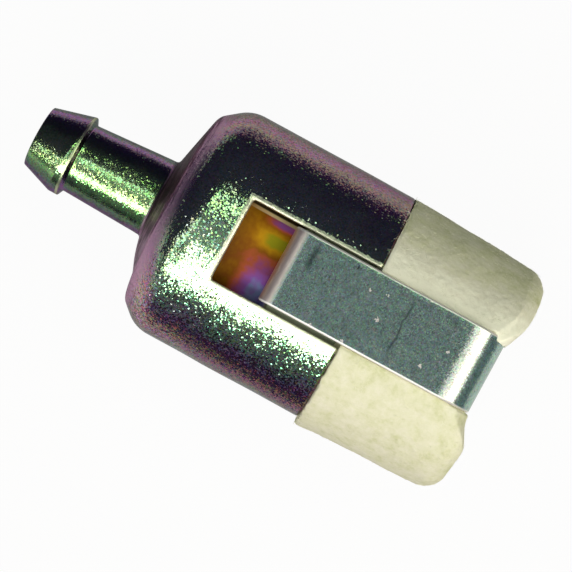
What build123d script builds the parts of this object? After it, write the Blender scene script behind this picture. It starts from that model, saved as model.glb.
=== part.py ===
"""Weighted in-tank fuel filter: a plated steel shell with a barbed nipple, and a felt plug held by a strap.

It is the kind that hangs on the end of a small engine's fuel hose and lies on the bottom of the tank. The
filter lies along X with its nipple towards -X, and rests on its shell and the flat of its strap. Millimetres,
+Z up, origin on the floor under the middle of its length. Distances along the filter (every value ending in
_at, _from or _to) are counted from the nipple's tip, and radii from the filter's axis.
"""

import os
from math import cos, radians, tan

from build123d import *

# Driving dimensions
overall_length = 38.75
shell_radius = 9.32
shell_wall = 0.8
strap_width = 6.0
strap_thickness = 0.5
strap_face = shell_radius  # from the filter's axis to the strap's outer face

# Hose nipple, sized for a hose of 4.8 mm (3/16 in) bore
bore_radius = 1.5
bore_lead = 0.25
tip_radius = 2.37
tip_round = 0.15
barb_radius = 3.28
barb_land_from = 2.8
barb_land_to = 3.25
barb_back_at = 3.5
stem_radius_at_barb = 2.77
stem_radius_at_foot = 3.12
shank_radius = 2.6
foot_at = 10.3
foot_flare = 0.3
collar_radius = 3.4
collar_length = 0.6

# Shell: a drawn cup with a shallow cone for its end, a steeper cone for its shoulder, and two windows that
# run out through the rim
seat_radius = 3.4
end_angle = 13.0  # how far the end leans back from square to the axis
shoulder_from_radius = 7.75
shoulder_angle = 39.0  # from the axis
end_round = 1.2
shoulder_round = 3.0
rim_at = 27.2
window_from = 16.75
window_width = 6.6
window_corner = 0.2

# Ballast core: a turned weight pressed into the shell, with a groove for the strap's hooks and a skirt that
# the felt sits in
core_front_radius = 6.5
felt_seat_at = 22.8
skirt_radius = 6.9
skirt_lead = 0.4
core_end_at = 26.8
web_to = 13.5
chamber_radius = 4.4
groove_from = 16.05
groove_radius = 7.0
groove_flat_from = 18.45
groove_round = 3.0
groove_edge = 0.3

# Strap
hook_at = 20.4
hook_outer_radius = 1.0
hook_end_radius = 7.35
bend_outer_radius = 3.0
strap_end_at = 37.75
strap_edge = 0.1

# Felt plug: widest where it leaves the shell
felt_radius = 9.6
felt_end_radius = 9.1
felt_end_corner = 1.4
felt_lip_corner = 0.3
felt_bore_radius = 3.25
felt_bore_to = 34.4

# Strainer inside the felt: a perforated tube, a gauze sleeve around it, and a cap on its end
tube_radius = 2.9
tube_wall = 0.35
tube_end_at = 33.4
flange_radius = 5.2
flange_thickness = 0.8
tube_hole_radius = 0.55
tube_hole_rows = 5
tube_holes_around = 6
tube_holes_from = 24.8
tube_hole_pitch = 1.8
sleeve_thickness = 0.2
sleeve_from = 23.1
cap_floor = 0.5
cap_skirt = 1.4
cap_thickness = 0.12

# The nipple's tip is at tip_x, and the filter's axis runs along X at the height of the strap's face
tip_x = -overall_length / 2
filter_axis = Axis((0, 0, strap_face), (1, 0, 0))
profile_plane = Plane(origin=(tip_x, 0, strap_face), x_dir=(1, 0, 0), z_dir=(0, -1, 0))
shell_bore = shell_radius - shell_wall
flange_from = felt_seat_at - flange_thickness
shoulder_slope = tan(radians(shoulder_angle))


def end_at(radius):
    """How far from the tip the outside of the shell's conical end is, at a radius."""
    return foot_at + (radius - seat_radius) * tan(radians(end_angle))


def corner_of(profile, distance, radius):
    """The vertex of a profile nearest to a place in it."""
    return profile.vertices().sort_by_distance((distance, radius))[0]


# Outer shell: deep-drawn from one disc of sheet steel, pierced for the nipple and slotted for the strap
shoulder_from = end_at(shoulder_from_radius)
shoulder_to = shoulder_from + (shell_radius - shoulder_from_radius) / shoulder_slope
with BuildPart() as outer_shell:
    with BuildSketch(profile_plane) as shell_profile:
        with BuildLine():
            Polyline(
                (foot_at, 0),
                (foot_at, seat_radius),
                (shoulder_from, shoulder_from_radius),
                (shoulder_to, shell_radius),
                (rim_at, shell_radius),
                (rim_at, 0),
                close=True,
            )
        make_face()
        fillet(corner_of(shell_profile, shoulder_from, shoulder_from_radius), end_round)
        fillet(corner_of(shell_profile, shoulder_to, shell_radius), shoulder_round)
    revolve(axis=filter_axis)
    offset(amount=-shell_wall, openings=outer_shell.faces().sort_by(Axis.X)[-1])
    with Locations(Plane(origin=(tip_x + foot_at, 0, strap_face), z_dir=(1, 0, 0))):
        Cylinder(shank_radius, 4 * shell_wall, mode=Mode.SUBTRACT)
    window_length = rim_at - window_from + shell_wall
    with Locations((tip_x + window_from + window_length / 2, 0, strap_face)):
        Box(window_length, window_width, 3 * shell_radius, mode=Mode.SUBTRACT)
    fillet(outer_shell.edges().filter_by(Axis.Z).group_by(Axis.X)[-1], window_corner)

# Hose nipple: turned from bar, its shank passed through shell and core and its end rolled over into a collar
with BuildPart() as hose_nipple:
    with BuildSketch(profile_plane) as nipple_profile:
        with BuildLine():
            Polyline(
                (0, bore_radius + bore_lead),
                (0, tip_radius),
                (barb_land_from, barb_radius),
                (barb_land_to, barb_radius),
                (barb_back_at, stem_radius_at_barb),
                (foot_at - foot_flare, stem_radius_at_foot),
                (foot_at, seat_radius),
                (foot_at, shank_radius),
                (web_to, shank_radius),
                (web_to, collar_radius),
                (web_to + collar_length, collar_radius),
                (web_to + 2 * collar_length, bore_radius),
                (bore_lead, bore_radius),
                close=True,
            )
        make_face()
        fillet(corner_of(nipple_profile, 0, tip_radius), tip_round)
    revolve(axis=filter_axis)

# Ballast core: the weight that keeps the filter on the bottom of the tank. Its end leans as the shell's does,
# and is bevelled clear of the shell's shoulder
core_front_at = end_at(core_front_radius) + shell_wall / cos(radians(end_angle))
with BuildPart() as ballast_core:
    with BuildSketch(profile_plane) as core_profile:
        with BuildLine():
            Polyline(
                (foot_at + shell_wall, shank_radius),
                (core_front_at, core_front_radius),
                (core_front_at + (shell_bore - core_front_radius) / shoulder_slope, shell_bore),
                (groove_from, shell_bore),
                (groove_flat_from, groove_radius),
                (hook_at + strap_thickness, groove_radius),
                (hook_at + strap_thickness, shell_bore - groove_edge),
                (hook_at + strap_thickness + groove_edge, shell_bore),
                (core_end_at, shell_bore),
                (core_end_at, skirt_radius + skirt_lead),
                (core_end_at - skirt_lead, skirt_radius),
                (felt_seat_at, skirt_radius),
                (felt_seat_at, flange_radius),
                (flange_from, flange_radius),
                (flange_from, chamber_radius),
                (web_to, chamber_radius),
                (web_to, shank_radius),
                close=True,
            )
        make_face()
        fillet(corner_of(core_profile, groove_flat_from, groove_radius), groove_round)
    revolve(axis=filter_axis)

# Retaining strap: one strip of spring steel bent to a U around the felt, its two ends bent inwards into hooks
strap_middle = strap_face - strap_thickness / 2
bend_radius = bend_outer_radius - strap_thickness / 2
hook_radius = hook_outer_radius - strap_thickness / 2
with BuildPart() as retaining_strap:
    with BuildSketch(profile_plane):
        with BuildLine():
            FilletPolyline(
                (hook_at + strap_thickness / 2, hook_end_radius),
                (hook_at + strap_thickness / 2, strap_middle),
                (strap_end_at - strap_thickness / 2, strap_middle),
                (strap_end_at - strap_thickness / 2, -strap_middle),
                (hook_at + strap_thickness / 2, -strap_middle),
                (hook_at + strap_thickness / 2, -hook_end_radius),
                radius=[hook_radius, bend_radius, bend_radius, hook_radius],
            )
        trace(line_width=strap_thickness)
    extrude(amount=strap_width / 2, both=True)
    fillet(retaining_strap.faces().filter_by(Axis.Y).edges(), strap_edge)

# Felt plug: needled wool felt, squeezed into the shell, bulging outside it and pinched by the strap
strap_inside = strap_face - strap_thickness
strap_bottom_at = strap_end_at - strap_thickness
with BuildPart() as felt_plug:
    with BuildSketch(profile_plane) as felt_profile:
        with BuildLine():
            Polyline(
                (felt_seat_at, felt_bore_radius),
                (felt_seat_at, skirt_radius),
                (core_end_at - skirt_lead, skirt_radius),
                (core_end_at, skirt_radius + skirt_lead),
                (core_end_at, shell_bore),
                (rim_at, shell_bore),
                (rim_at, felt_radius),
                (overall_length, felt_end_radius),
                (overall_length, 0),
                (felt_bore_to, 0),
                (felt_bore_to, felt_bore_radius),
                close=True,
            )
        make_face()
        fillet(corner_of(felt_profile, overall_length, felt_end_radius), felt_end_corner)
        fillet(corner_of(felt_profile, rim_at, felt_radius), felt_lip_corner)
    revolve(axis=filter_axis)
    with BuildSketch(profile_plane):
        with Locations((strap_end_at, 0)):
            Rectangle(2 * overall_length, 4 * felt_radius)
        with Locations((strap_bottom_at / 2, 0)):
            RectangleRounded(
                strap_bottom_at, 2 * strap_inside, bend_outer_radius - strap_thickness, mode=Mode.SUBTRACT
            )
    extrude(amount=strap_width / 2, both=True, mode=Mode.SUBTRACT)

# Support tube: perforated brass tube that keeps the felt's bore open, its flange held between core and felt
with BuildPart() as support_tube:
    with BuildSketch(profile_plane):
        with BuildLine():
            Polyline(
                (flange_from, tube_radius - tube_wall),
                (flange_from, flange_radius),
                (felt_seat_at, flange_radius),
                (felt_seat_at, tube_radius),
                (tube_end_at, tube_radius),
                (tube_end_at, tube_radius - tube_wall),
                close=True,
            )
        make_face()
    revolve(axis=filter_axis)
    for row in range(tube_hole_rows):
        row_x = tip_x + tube_holes_from + row * tube_hole_pitch
        with Locations(Plane(origin=(row_x, 0, strap_face), x_dir=(0, 1, 0), z_dir=(1, 0, 0))):
            with PolarLocations(0, tube_holes_around // 2, angular_range=180):
                Cylinder(tube_hole_radius, 3 * tube_radius, rotation=(90, 0, 0), mode=Mode.SUBTRACT)

# Gauze sleeve: fine woven screen rolled around the tube
with BuildPart() as gauze_sleeve:
    with BuildSketch(profile_plane):
        with Locations(((sleeve_from + tube_end_at) / 2, tube_radius + sleeve_thickness / 2)):
            Rectangle(tube_end_at - sleeve_from, sleeve_thickness)
    revolve(axis=filter_axis)

# End cap: pressed cup that closes the tube and holds the sleeve's end
with BuildPart() as end_cap:
    with BuildSketch(profile_plane):
        with BuildLine():
            Polyline(
                (tube_end_at, 0),
                (tube_end_at, tube_radius + sleeve_thickness),
                (tube_end_at - cap_skirt, tube_radius + sleeve_thickness),
                (tube_end_at - cap_skirt, tube_radius + sleeve_thickness + cap_thickness),
                (tube_end_at + cap_floor, tube_radius + sleeve_thickness + cap_thickness),
                (tube_end_at + cap_floor, 0),
                close=True,
            )
        make_face()
    revolve(axis=filter_axis)

pieces = {
    "outer_shell": outer_shell,
    "hose_nipple": hose_nipple,
    "ballast_core": ballast_core,
    "retaining_strap": retaining_strap,
    "felt_plug": felt_plug,
    "support_tube": support_tube,
    "gauze_sleeve": gauze_sleeve,
    "end_cap": end_cap,
}
os.makedirs("parts", exist_ok=True)
for name, piece in pieces.items():
    piece.part.label = name
    export_step(piece.part, f"parts/{name}.step")
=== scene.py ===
"""A weighted in-tank fuel filter for a small engine, dressed for the camera.

A plated steel shell with a barbed hose nipple holds a felt plug, and a bent steel strap hooks into the
shell's windows and clasps the felt. The filter lies along X with its nipple towards -X, and rests on the
floor, z = 0. Lengths are in metres, written as millimetres times MM. Distances along the filter, the values
ending in _at, count from the nipple's tip.
"""

from functools import partial
from math import atan2, cos, hypot, pi, radians, sin, tan

import bmesh
import bpy
import numpy as np
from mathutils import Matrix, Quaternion, Vector


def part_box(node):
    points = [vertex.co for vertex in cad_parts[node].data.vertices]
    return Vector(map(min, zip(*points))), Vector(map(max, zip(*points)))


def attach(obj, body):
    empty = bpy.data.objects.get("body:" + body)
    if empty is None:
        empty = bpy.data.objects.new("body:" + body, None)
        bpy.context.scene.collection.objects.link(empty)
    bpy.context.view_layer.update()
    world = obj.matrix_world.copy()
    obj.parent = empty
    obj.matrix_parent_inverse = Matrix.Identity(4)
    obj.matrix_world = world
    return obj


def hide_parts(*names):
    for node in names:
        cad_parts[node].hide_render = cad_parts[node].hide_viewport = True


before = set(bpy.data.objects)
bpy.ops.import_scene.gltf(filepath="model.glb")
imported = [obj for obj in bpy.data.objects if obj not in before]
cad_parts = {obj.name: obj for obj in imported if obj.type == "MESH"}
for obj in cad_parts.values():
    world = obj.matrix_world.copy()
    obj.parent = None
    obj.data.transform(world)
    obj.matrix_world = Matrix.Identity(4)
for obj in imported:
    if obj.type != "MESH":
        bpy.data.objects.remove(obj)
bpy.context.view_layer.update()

MM = 0.001
TIP_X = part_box("hose_nipple")[0].x
SHELL_LOW, SHELL_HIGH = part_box("outer_shell")
AXIS_Z = (SHELL_LOW.z + SHELL_HIGH.z) / 2


# Camera: a long lens straight above the filter, turned about the vertical so that the filter slopes down to
# the right.
camera_height = 174 * MM  # above the filter's axis
camera_x = 2.355 * MM
camera_y = -1.11 * MM
camera_turn = radians(28.65)
lens_mm = 145.07


def new_object(name, data):
    """An object that shows some data, added to the scene."""
    made = bpy.data.objects.new(name, data)
    bpy.context.scene.collection.objects.link(made)
    return made


camera_data = bpy.data.cameras.new("camera")
camera_data.lens = lens_mm
camera_data.sensor_width = 36
camera_data.clip_start = 10 * MM
camera_data.clip_end = 5
camera = new_object("camera", camera_data)
camera.location = (camera_x, camera_y, AXIS_Z + camera_height)
camera.rotation_euler = (0, 0, camera_turn)
bpy.context.scene.camera = camera


# Outer shell: a cup deep-drawn from sheet steel and zinc plated, with a shallow conical end that is pierced
# for the nipple, and a steeper cone for its shoulder. Two windows, punched through the wall and out at the
# rim, let the strap's hooks in. Their edges are worn to the steel and painted pale as a highlight too.
shell_wall = 0.8 * MM
shell_radius = (SHELL_HIGH.z - SHELL_LOW.z) / 2
shell_bore = shell_radius - shell_wall
rim_at = SHELL_HIGH.x - TIP_X
shank_radius = 2.6 * MM
seat_at = 10.3 * MM
seat_radius = 3.4 * MM
end_angle = radians(13)  # how far the end leans back from square to the axis
shoulder_from_radius = 7.75 * MM
shoulder_angle = radians(39)  # from the axis
seat_round = 1.0 * MM
end_round = 1.2 * MM
shoulder_round = 3.0 * MM
window_half_width = 3.26 * MM
window_at = 16.75 * MM
edge_round = 0.2 * MM
dent_radius = 6.5 * MM
dent_spread = 1.5 * MM
dent_depth = 0.35 * MM
dent_to = 13 * MM


def rounded(corners, radii, steps=8):
    """An outline through corners, each turned by an arc of its radius.

    An arc touches its two runs at radius * tan(half the turn) from the corner. Its points are spread evenly
    between those two places along the circle that touches both runs. The first and last corners are kept.
    """
    corners = np.asarray(corners, float)
    line = [corners[:1]]
    for before, corner, after, radius in zip(corners[:-2], corners[1:-1], corners[2:], radii):
        if radius == 0:
            line.append(corner[None])
            continue
        into = (corner - before) / np.linalg.norm(corner - before)
        out = (after - corner) / np.linalg.norm(after - corner)
        side = np.sign(into[0] * out[1] - into[1] * out[0])
        turn = np.arccos(np.clip(into @ out, -1, 1))
        normal = side * np.array([-into[1], into[0]])
        centre = corner - into * radius * np.tan(turn / 2) + normal * radius
        angle = np.linspace(0, turn, steps + 1)[:, None]
        line.append(centre + radius * (np.sin(angle) * into - np.cos(angle) * normal))
    line.append(corners[-1:])
    return np.concatenate(line)


def divided(outline, spacing):
    """The same outline with its long runs cut into equal parts no longer than the spacing."""
    lengths = np.linalg.norm(np.diff(outline, axis=0), axis=1)
    counts = np.maximum(np.ceil(lengths / spacing), 1).astype(int)
    starts = np.repeat(np.arange(len(counts)), counts)
    share = np.concatenate([np.arange(n) / n for n in counts])[:, None]
    parts = outline[starts] * (1 - share) + outline[starts + 1] * share
    return np.concatenate([parts, outline[-1:]])


def shifted(line, by):
    """A line moved sideways: each point goes along the line's normal, its heading turned by a right angle."""
    way = np.gradient(line, axis=0)
    way /= np.linalg.norm(way, axis=1, keepdims=True)
    return line + by * np.stack([way[:, 1], -way[:, 0]], axis=1)


def even_angles(outline, around):
    """Angles spread evenly about the filter's axis, the same for each point of an outline."""
    return np.broadcast_to(np.linspace(0, 2 * pi, around + 1)[:-1], (len(outline), around))


def slotted_angles(radius, half_width, across, around):
    """Angles about the axis, from the top through +Y, with columns along the edges of a slot above and below.

    Within the slot a column keeps its distance y from the middle plane, so its angle is arcsin(y / radius).
    Between the slots the angles are spread evenly.
    """
    radius = np.asarray(radius, float)[:, None]
    edge = np.arcsin(half_width / np.maximum(radius, 1.05 * half_width))
    top = np.arcsin(np.sin(edge) * np.linspace(-1, 1, across + 1))
    side = edge + (pi - 2 * edge) * np.linspace(0, 1, around + 1)[1:-1]
    return np.concatenate([top, side, top + pi, side + pi], axis=1)


def turned(outline, angles):
    """Points of an outline turned about the axis: y = radius * sin(angle), z = radius * cos(angle)."""
    at, radius = outline[:, :1], outline[:, 1:]
    y, z = radius * np.sin(angles), radius * np.cos(angles)
    return np.stack([TIP_X + at + 0 * angles, y, AXIS_Z + z], axis=-1)


def grid_faces(rows, columns, wrap_rows, wrap_columns):
    """A quad for each four neighbours of a grid, whose rows or columns may close on themselves."""
    row = np.arange(rows if wrap_rows else rows - 1)[:, None] * columns
    column = np.arange(columns if wrap_columns else columns - 1)[None, :]
    below, beside = (row + columns) % (rows * columns), (column + 1) % columns
    corners = [row + column, below + column, below + beside, row + beside]
    return np.stack(corners, axis=-1).reshape(-1, 4)


def waves(place, size, draws, count=36):
    """A rough field, about -1 to 1: the sum of plane waves of one length, seeded in direction and phase."""
    way = draws.normal(size=(count, 3))
    way *= 2 * pi / size / np.linalg.norm(way, axis=1, keepdims=True) * draws.uniform(0.6, 1.5, (count, 1))
    phase = draws.uniform(0, 2 * pi, count)
    field = np.zeros(place.shape[:-1])
    for direction, start in zip(way, phase):
        field += np.sin(place @ direction + start)
    return field * np.sqrt(2 / count) / 2


def grid_normals(points):
    """Unit normals of a grid of points: the cross product of its steps along rows and columns."""
    down = np.gradient(points, axis=0)
    beside = (np.roll(points, -1, axis=1) - np.roll(points, 1, axis=1)) / 2
    normal = np.cross(beside, down)
    return normal / np.maximum(np.linalg.norm(normal, axis=-1, keepdims=True), 1e-12)


def new_piece(name, points, faces, caps=(), flat=None, smooth_below=40.0):
    """A mesh object from points and quads, with doubles merged and its faces pointing outwards.

    Caps are whole outlines that close an open end. Flat gives each point its place in the piece's UV map,
    in metres.
    """
    data = bpy.data.meshes.new(name)
    corners = faces.tolist() + [list(cap) for cap in caps]
    data.from_pydata(points.reshape(-1, 3).tolist(), [], corners)
    if flat is not None:
        layer = data.uv_layers.new(name="flat")
        layer.data.foreach_set("uv", flat.reshape(-1, 2)[np.concatenate(corners)].ravel())
    work = bmesh.new()
    work.from_mesh(data)
    bmesh.ops.remove_doubles(work, verts=work.verts, dist=0.0005 * MM)
    bmesh.ops.delete(work, geom=[v for v in work.verts if not v.link_faces], context="VERTS")
    bmesh.ops.recalc_face_normals(work, faces=work.faces)
    work.to_mesh(data)
    work.free()
    data.shade_smooth()
    data.set_sharp_from_angle(angle=radians(smooth_below))
    return new_object(name, data)


def linear(hex_colour):
    """An sRGB hex colour as linear RGBA: ((c + 0.055) / 1.055) ** 2.4, or c / 12.92 where c is very dark."""
    value = np.array([int(hex_colour[i : i + 2], 16) / 255 for i in (1, 3, 5)])
    straight = np.where(value <= 0.04045, value / 12.92, ((value + 0.055) / 1.055) ** 2.4)
    return (*straight.tolist(), 1.0)


def set_inputs(tree, node, inputs):
    """Sets a node's inputs, each to a value, a hex colour, or a link from a socket or a node's first output.

    An output that the node's settings switch off doesn't count as its first.
    """
    for name, value in inputs.items():
        if isinstance(value, str):
            value = linear(value)
        elif isinstance(value, bpy.types.Node):
            value = next(output for output in value.outputs if output.enabled)
        if isinstance(value, bpy.types.NodeSocket):
            tree.links.new(value, node.inputs[name])
        else:
            node.inputs[name].default_value = value


def add_node(tree, kind, inputs=None, stops=(), **settings):
    """Adds a node to a tree. Stops are the (position, hex colour) pairs of a colour ramp.

    Inputs have names, or numbers where names repeat. Math takes 0, 1 and 2. Map Range takes its value as 0,
    the range that it reads as 1 to 2, and the range that it gives as 3 to 4, and is held at their ends.
    Both of its ranges are 0 to 1 where they aren't given. Mix takes its factor as 0 and its two colours as
    6 and 7.
    """
    made = tree.nodes.new("ShaderNode" + kind)
    for name, value in settings.items():
        setattr(made, name, value)
    set_inputs(tree, made, inputs or {})
    while stops and len(made.color_ramp.elements) < len(stops):
        made.color_ramp.elements.new(0.5)
    for number, (position, colour) in enumerate(stops):
        made.color_ramp.elements[number].position = position
        made.color_ramp.elements[number].color = linear(colour)
    return made


def new_material(name):
    """A material, a function that adds its nodes, one that dresses its shader, and its Object coordinates."""
    material = bpy.data.materials.new(name)
    material.use_nodes = True
    tree = material.node_tree
    add = partial(add_node, tree)
    dress = partial(set_inputs, tree, tree.nodes["Principled BSDF"])
    return material, add, dress, add("TexCoord").outputs["Object"]


def finish_piece(piece, material, node):
    """The piece gets its material, stands for its CAD node and rides on the filter's one body."""
    piece.data.materials.append(material)
    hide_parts(node)
    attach(piece, "root")


def faceted(add, place, normal, grain_mm, tilt, stray_tilt):
    """A normal tipped a little this way or that in each small cell, and further in the few cells that stray.

    A cell's tilt is its random colour less a half, times tilt + stray_tilt * v ** 4, where v is another
    random number.
    """
    cells = add("TexVoronoi", {"Vector": place, "Scale": 1 / (grain_mm * MM)})
    straying = add("TexWhiteNoise", {"Vector": cells.outputs["Position"]})
    straying = add("Math", {0: straying, 1: 4.0}, operation="POWER")
    amount = add("Math", {0: straying, 1: stray_tilt, 2: tilt}, operation="MULTIPLY_ADD")
    centred = add("VectorMath", {0: cells.outputs["Color"], 1: (0.5, 0.5, 0.5)}, operation="SUBTRACT")
    tipped = add("VectorMath", {0: centred, "Scale": amount}, operation="SCALE")
    tipped = add("VectorMath", {0: normal, 1: tipped}, operation="ADD")
    return add("VectorMath", {0: tipped}, operation="NORMALIZE"), cells.outputs["Color"]


def ringed(add, place, width_mm, length_mm, detail):
    """Noise drawn out into rings round the filter's axis: narrow along X and long the other two ways."""
    scale = (1 / (width_mm * MM), 1 / (length_mm * MM), 1 / (length_mm * MM))
    stretched = add("Mapping", {"Vector": place, "Scale": scale})
    return add("TexNoise", {"Vector": stretched, "Scale": 1.0, "Detail": detail})


def plated_steel(
    name, film, patch_mm, grain_mm, dull_from, dull_to, worn_and_highlit, lean_mm=0.0, flow_to=None, border_light_at=None
):
    """Bright zinc plate under a clear chromate film, thin enough to show interference colours.

    The film is green where the surface lies flat, violet where it leans, and greenish grey where it
    stands upright. Its colour follows the steepness, 1 on level faces and 0 on upright ones, plus a
    drift in patches and, where a lean is given, less the distance toward +Y divided by it. Tying the
    colour to the steepness is painted reflection: it stands for the film's shift of colour with the angle
    it is seen at from above, and the violet of the leaning sides for their darker reflections. Plating
    over drawn or turned steel has an orange peel of crystals: facets of about 0.1 mm, each tipped a few
    degrees and a little lighter or darker, so the edge of each reflection breaks into specks. Finer ones
    tip less, and those low on the -Y side tip more. The corner between shell and nipple is dull, and
    painted shade darkens it in rings, lighter toward -Y where the light falls, and lighter still past a
    border where one is given. A tuple holds a function that finds the pale edges, their colour, and how
    much rougher they are: there the plate is worn through to the steel, and the paleness is also a
    painted highlight.
    """
    material, add, dress, place = new_material(name)
    x, y, _ = add("SeparateXYZ", {"Vector": place}).outputs
    # Painted reflection: the film's colour follows the surface's steepness, as if seen from above.
    upward = add("SeparateXYZ", {"Vector": add("TexCoord").outputs["Normal"]}).outputs["Z"]
    upward = add("Math", {0: upward}, operation="ABSOLUTE")
    patches = {"Vector": place, "Scale": 1 / (patch_mm * MM), "Detail": 6.0, "Roughness": 0.68}
    drift = add("MapRange", {0: add("TexNoise", patches), 3: -0.28, 4: 0.28})
    steepness = add("Math", {0: upward, 1: drift}, operation="ADD")
    if lean_mm:
        steepness = add("Math", {0: y, 1: -1 / (lean_mm * MM), 2: steepness}, operation="MULTIPLY_ADD")
    film_colour = add("ValToRGB", {"Fac": steepness}, stops=film)

    waviness = add("TexNoise", {"Vector": place, "Scale": 1 / (0.2 * MM), "Detail": 1.0})
    waved = add("Bump", {"Height": waviness, "Distance": 0.008 * MM})
    if flow_to:
        flow = ringed(add, place, 0.45, 3.5, 2.0)
        flowing = add("MapRange", {0: x, 1: TIP_X + flow_to, 2: TIP_X + flow_to - 1.8 * MM})
        waved = add("Bump", {"Height": flow, "Strength": flowing, "Distance": 0.035 * MM, "Normal": waved})
    coarse = add("MapRange", {0: y, 1: -4.6 * MM, 2: -6.2 * MM})
    tilt = add("MapRange", {0: coarse, 3: 1.3 * grain_mm, 4: 0.31})
    normal, cell_colour = faceted(add, place, waved, grain_mm, tilt, 3.4 * grain_mm)
    muted = add("HueSaturation", {"Color": cell_colour, "Saturation": 0.6})
    contrast = add("MapRange", {0: coarse, 3: 0.62, 4: 1.0})
    colour = add("Mix", {0: contrast, 6: film_colour, 7: muted}, data_type="RGBA", blend_type="OVERLAY")

    dulled = add("MapRange", {0: x, 1: TIP_X + dull_to, 2: TIP_X + dull_from})
    # Painted shade darkens the dull corner between shell and nipple in rings, lighter toward -Y.
    corner_shade_share = add("Math", {0: dulled, 1: 0.85}, operation="MULTIPLY")
    lit_side_lift = add("MapRange", {0: y, 1: 1.0 * MM, 2: -1.5 * MM, 3: -0.06, 4: 0.13})
    corner_shade = add("Math", {0: ringed(add, place, 0.07, 2, 4.0), 1: lit_side_lift}, operation="ADD")
    # Painted light: past this border the corner's painted shade turns lighter.
    if border_light_at:
        border_light = add("MapRange", {0: x, 1: TIP_X + border_light_at, 2: TIP_X + border_light_at + 0.5 * MM, 4: 0.35})
        corner_shade = add("Math", {0: corner_shade, 1: border_light}, operation="ADD")
    corner_shade_stops = [(0.30, "#30242e"), (0.46, "#5e4654"), (0.58, "#8a6882"), (0.72, "#d0a8c4")]
    corner_shade = add("ValToRGB", {"Fac": corner_shade}, stops=corner_shade_stops)
    colour = add("Mix", {0: corner_shade_share, 6: colour, 7: corner_shade}, data_type="RGBA")
    roughness = add("MapRange", {0: dulled, 3: 0.15, 4: 0.42})

    # The pale edges: plate worn through to the steel, and a painted highlight along them.
    find_pale_edge, steel, rougher = worn_and_highlit
    pale_edge = find_pale_edge(add, place)
    colour = add("Mix", {0: pale_edge, 6: colour, 7: steel}, data_type="RGBA")
    roughness = add("Math", {0: pale_edge, 1: rougher, 2: roughness}, operation="MULTIPLY_ADD")
    dress({"Base Color": colour, "Roughness": roughness, "Normal": normal, "Metallic": 1.0})
    dress({"Specular Tint": "#a5a2a6"})
    return material


def pale_edge_round_window(add, place):
    """1 on the plate up to about 0.35 mm from a window, 0 further off, with a nicked border between."""
    # The band along the window edges is worn steel and a painted highlight.
    x, y, _ = add("SeparateXYZ", {"Vector": place}).outputs
    aside = add("Math", {0: y}, operation="ABSOLUTE")
    aside = add("Math", {0: aside, 1: window_half_width}, operation="SUBTRACT")
    ahead = add("Math", {0: TIP_X + window_at, 1: x}, operation="SUBTRACT")
    off = add("Math", {0: aside, 1: ahead}, operation="MAXIMUM")
    nicks = add("TexNoise", {"Vector": place, "Scale": 1 / (0.25 * MM), "Detail": 2.0})
    off = add("Math", {0: nicks, 1: 0.2 * MM, 2: off}, operation="MULTIPLY_ADD")
    return add("MapRange", {0: off, 1: 0.5 * MM, 2: 0.42 * MM})


def cone_at(radius):
    """How far from the tip the outside of the shell's conical end is, at a radius."""
    return seat_at + (radius - seat_radius) * tan(end_angle)


shoulder_from = cone_at(shoulder_from_radius)
shoulder_to = shoulder_from + (shell_radius - shoulder_from_radius) / tan(shoulder_angle)
outside = rounded(
    [
        (seat_at, shank_radius),
        (seat_at, seat_radius),
        (shoulder_from, shoulder_from_radius),
        (shoulder_to, shell_radius),
        (window_at, shell_radius),
    ],
    [seat_round, end_round, shoulder_round],
    steps=14,
)
outside = divided(outside, 0.35 * MM)
inside = shifted(outside, shell_wall)
wall_rows = np.linspace(window_at, rim_at, 33)
outline = np.concatenate(
    [
        outside[:-1],
        np.stack([wall_rows, np.full_like(wall_rows, shell_radius)], axis=1),
        np.stack([wall_rows[::-1], np.full_like(wall_rows, shell_bore)], axis=1),
        inside[-2::-1],
    ]
)
across, around = 20, 70
angles = slotted_angles(outline[:, 1], window_half_width, across, around)
points = turned(outline, angles)
rows, columns = angles.shape
faces = grid_faces(rows, columns, True, True)

# Drawing left the wall wavy, by up to 0.02 mm, and a knock has dented the conical end on its -Y side: the
# dent's depth falls off as exp(-(distance / spread) ** 2) from its radius, and as the square of a cosine
# round the axis.
draws = np.random.default_rng(7)
drawing_waves = 0.016 * waves(points, 6.0 * MM, draws) + 0.006 * waves(points, 2.4 * MM, draws)
from_axis = points - np.array([0, 0, AXIS_Z])
from_axis[..., 0] = 0
from_axis /= np.linalg.norm(from_axis, axis=-1, keepdims=True)
points += from_axis * (np.minimum(drawing_waves, 0.02) * MM)[..., None]
off_axis = np.hypot(points[..., 1], points[..., 2] - AXIS_Z)
dent = dent_depth * np.exp(-(((off_axis - dent_radius) / dent_spread) ** 2))
dent *= np.clip(-from_axis[..., 1], 0, 1) ** 2
points[..., 0] += dent * (points[..., 0] < TIP_X + dent_to)

# The windows: quads between the window's start and the rim are left out where they lie in a slot, and the
# wall's cut edges are closed with quads from its outer to its inner surface.
first, last = len(outside) - 1, len(outside) - 1 + 2 * len(wall_rows) - 1
face_row, face_column = np.divmod(np.arange(rows * columns), columns)
opposite = across + around
in_slot = (face_column % opposite) < across
faces = faces[~((face_row >= first) & (face_row < last) & in_slot)]
outer_rows = (first + np.arange(len(wall_rows))) * columns
inner_rows = (last - np.arange(len(wall_rows))) * columns
walls = []
for edge in (0, across, opposite, opposite + across):
    walls.append(np.stack([outer_rows[:-1], outer_rows[1:], inner_rows[1:], inner_rows[:-1]], axis=1) + edge)
for start in (0, opposite):
    cut = start + np.arange(across)
    outer, inner = outer_rows[0] + cut, inner_rows[0] + cut
    walls.append(np.stack([outer, outer + 1, inner + 1, inner], axis=1))
shell = new_piece("outer_shell_plated", points, np.concatenate([faces, *walls]))
bevel = shell.modifiers.new("edge_round", "BEVEL")
bevel.width = edge_round
bevel.segments = 3
bevel.limit_method = "ANGLE"
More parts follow.
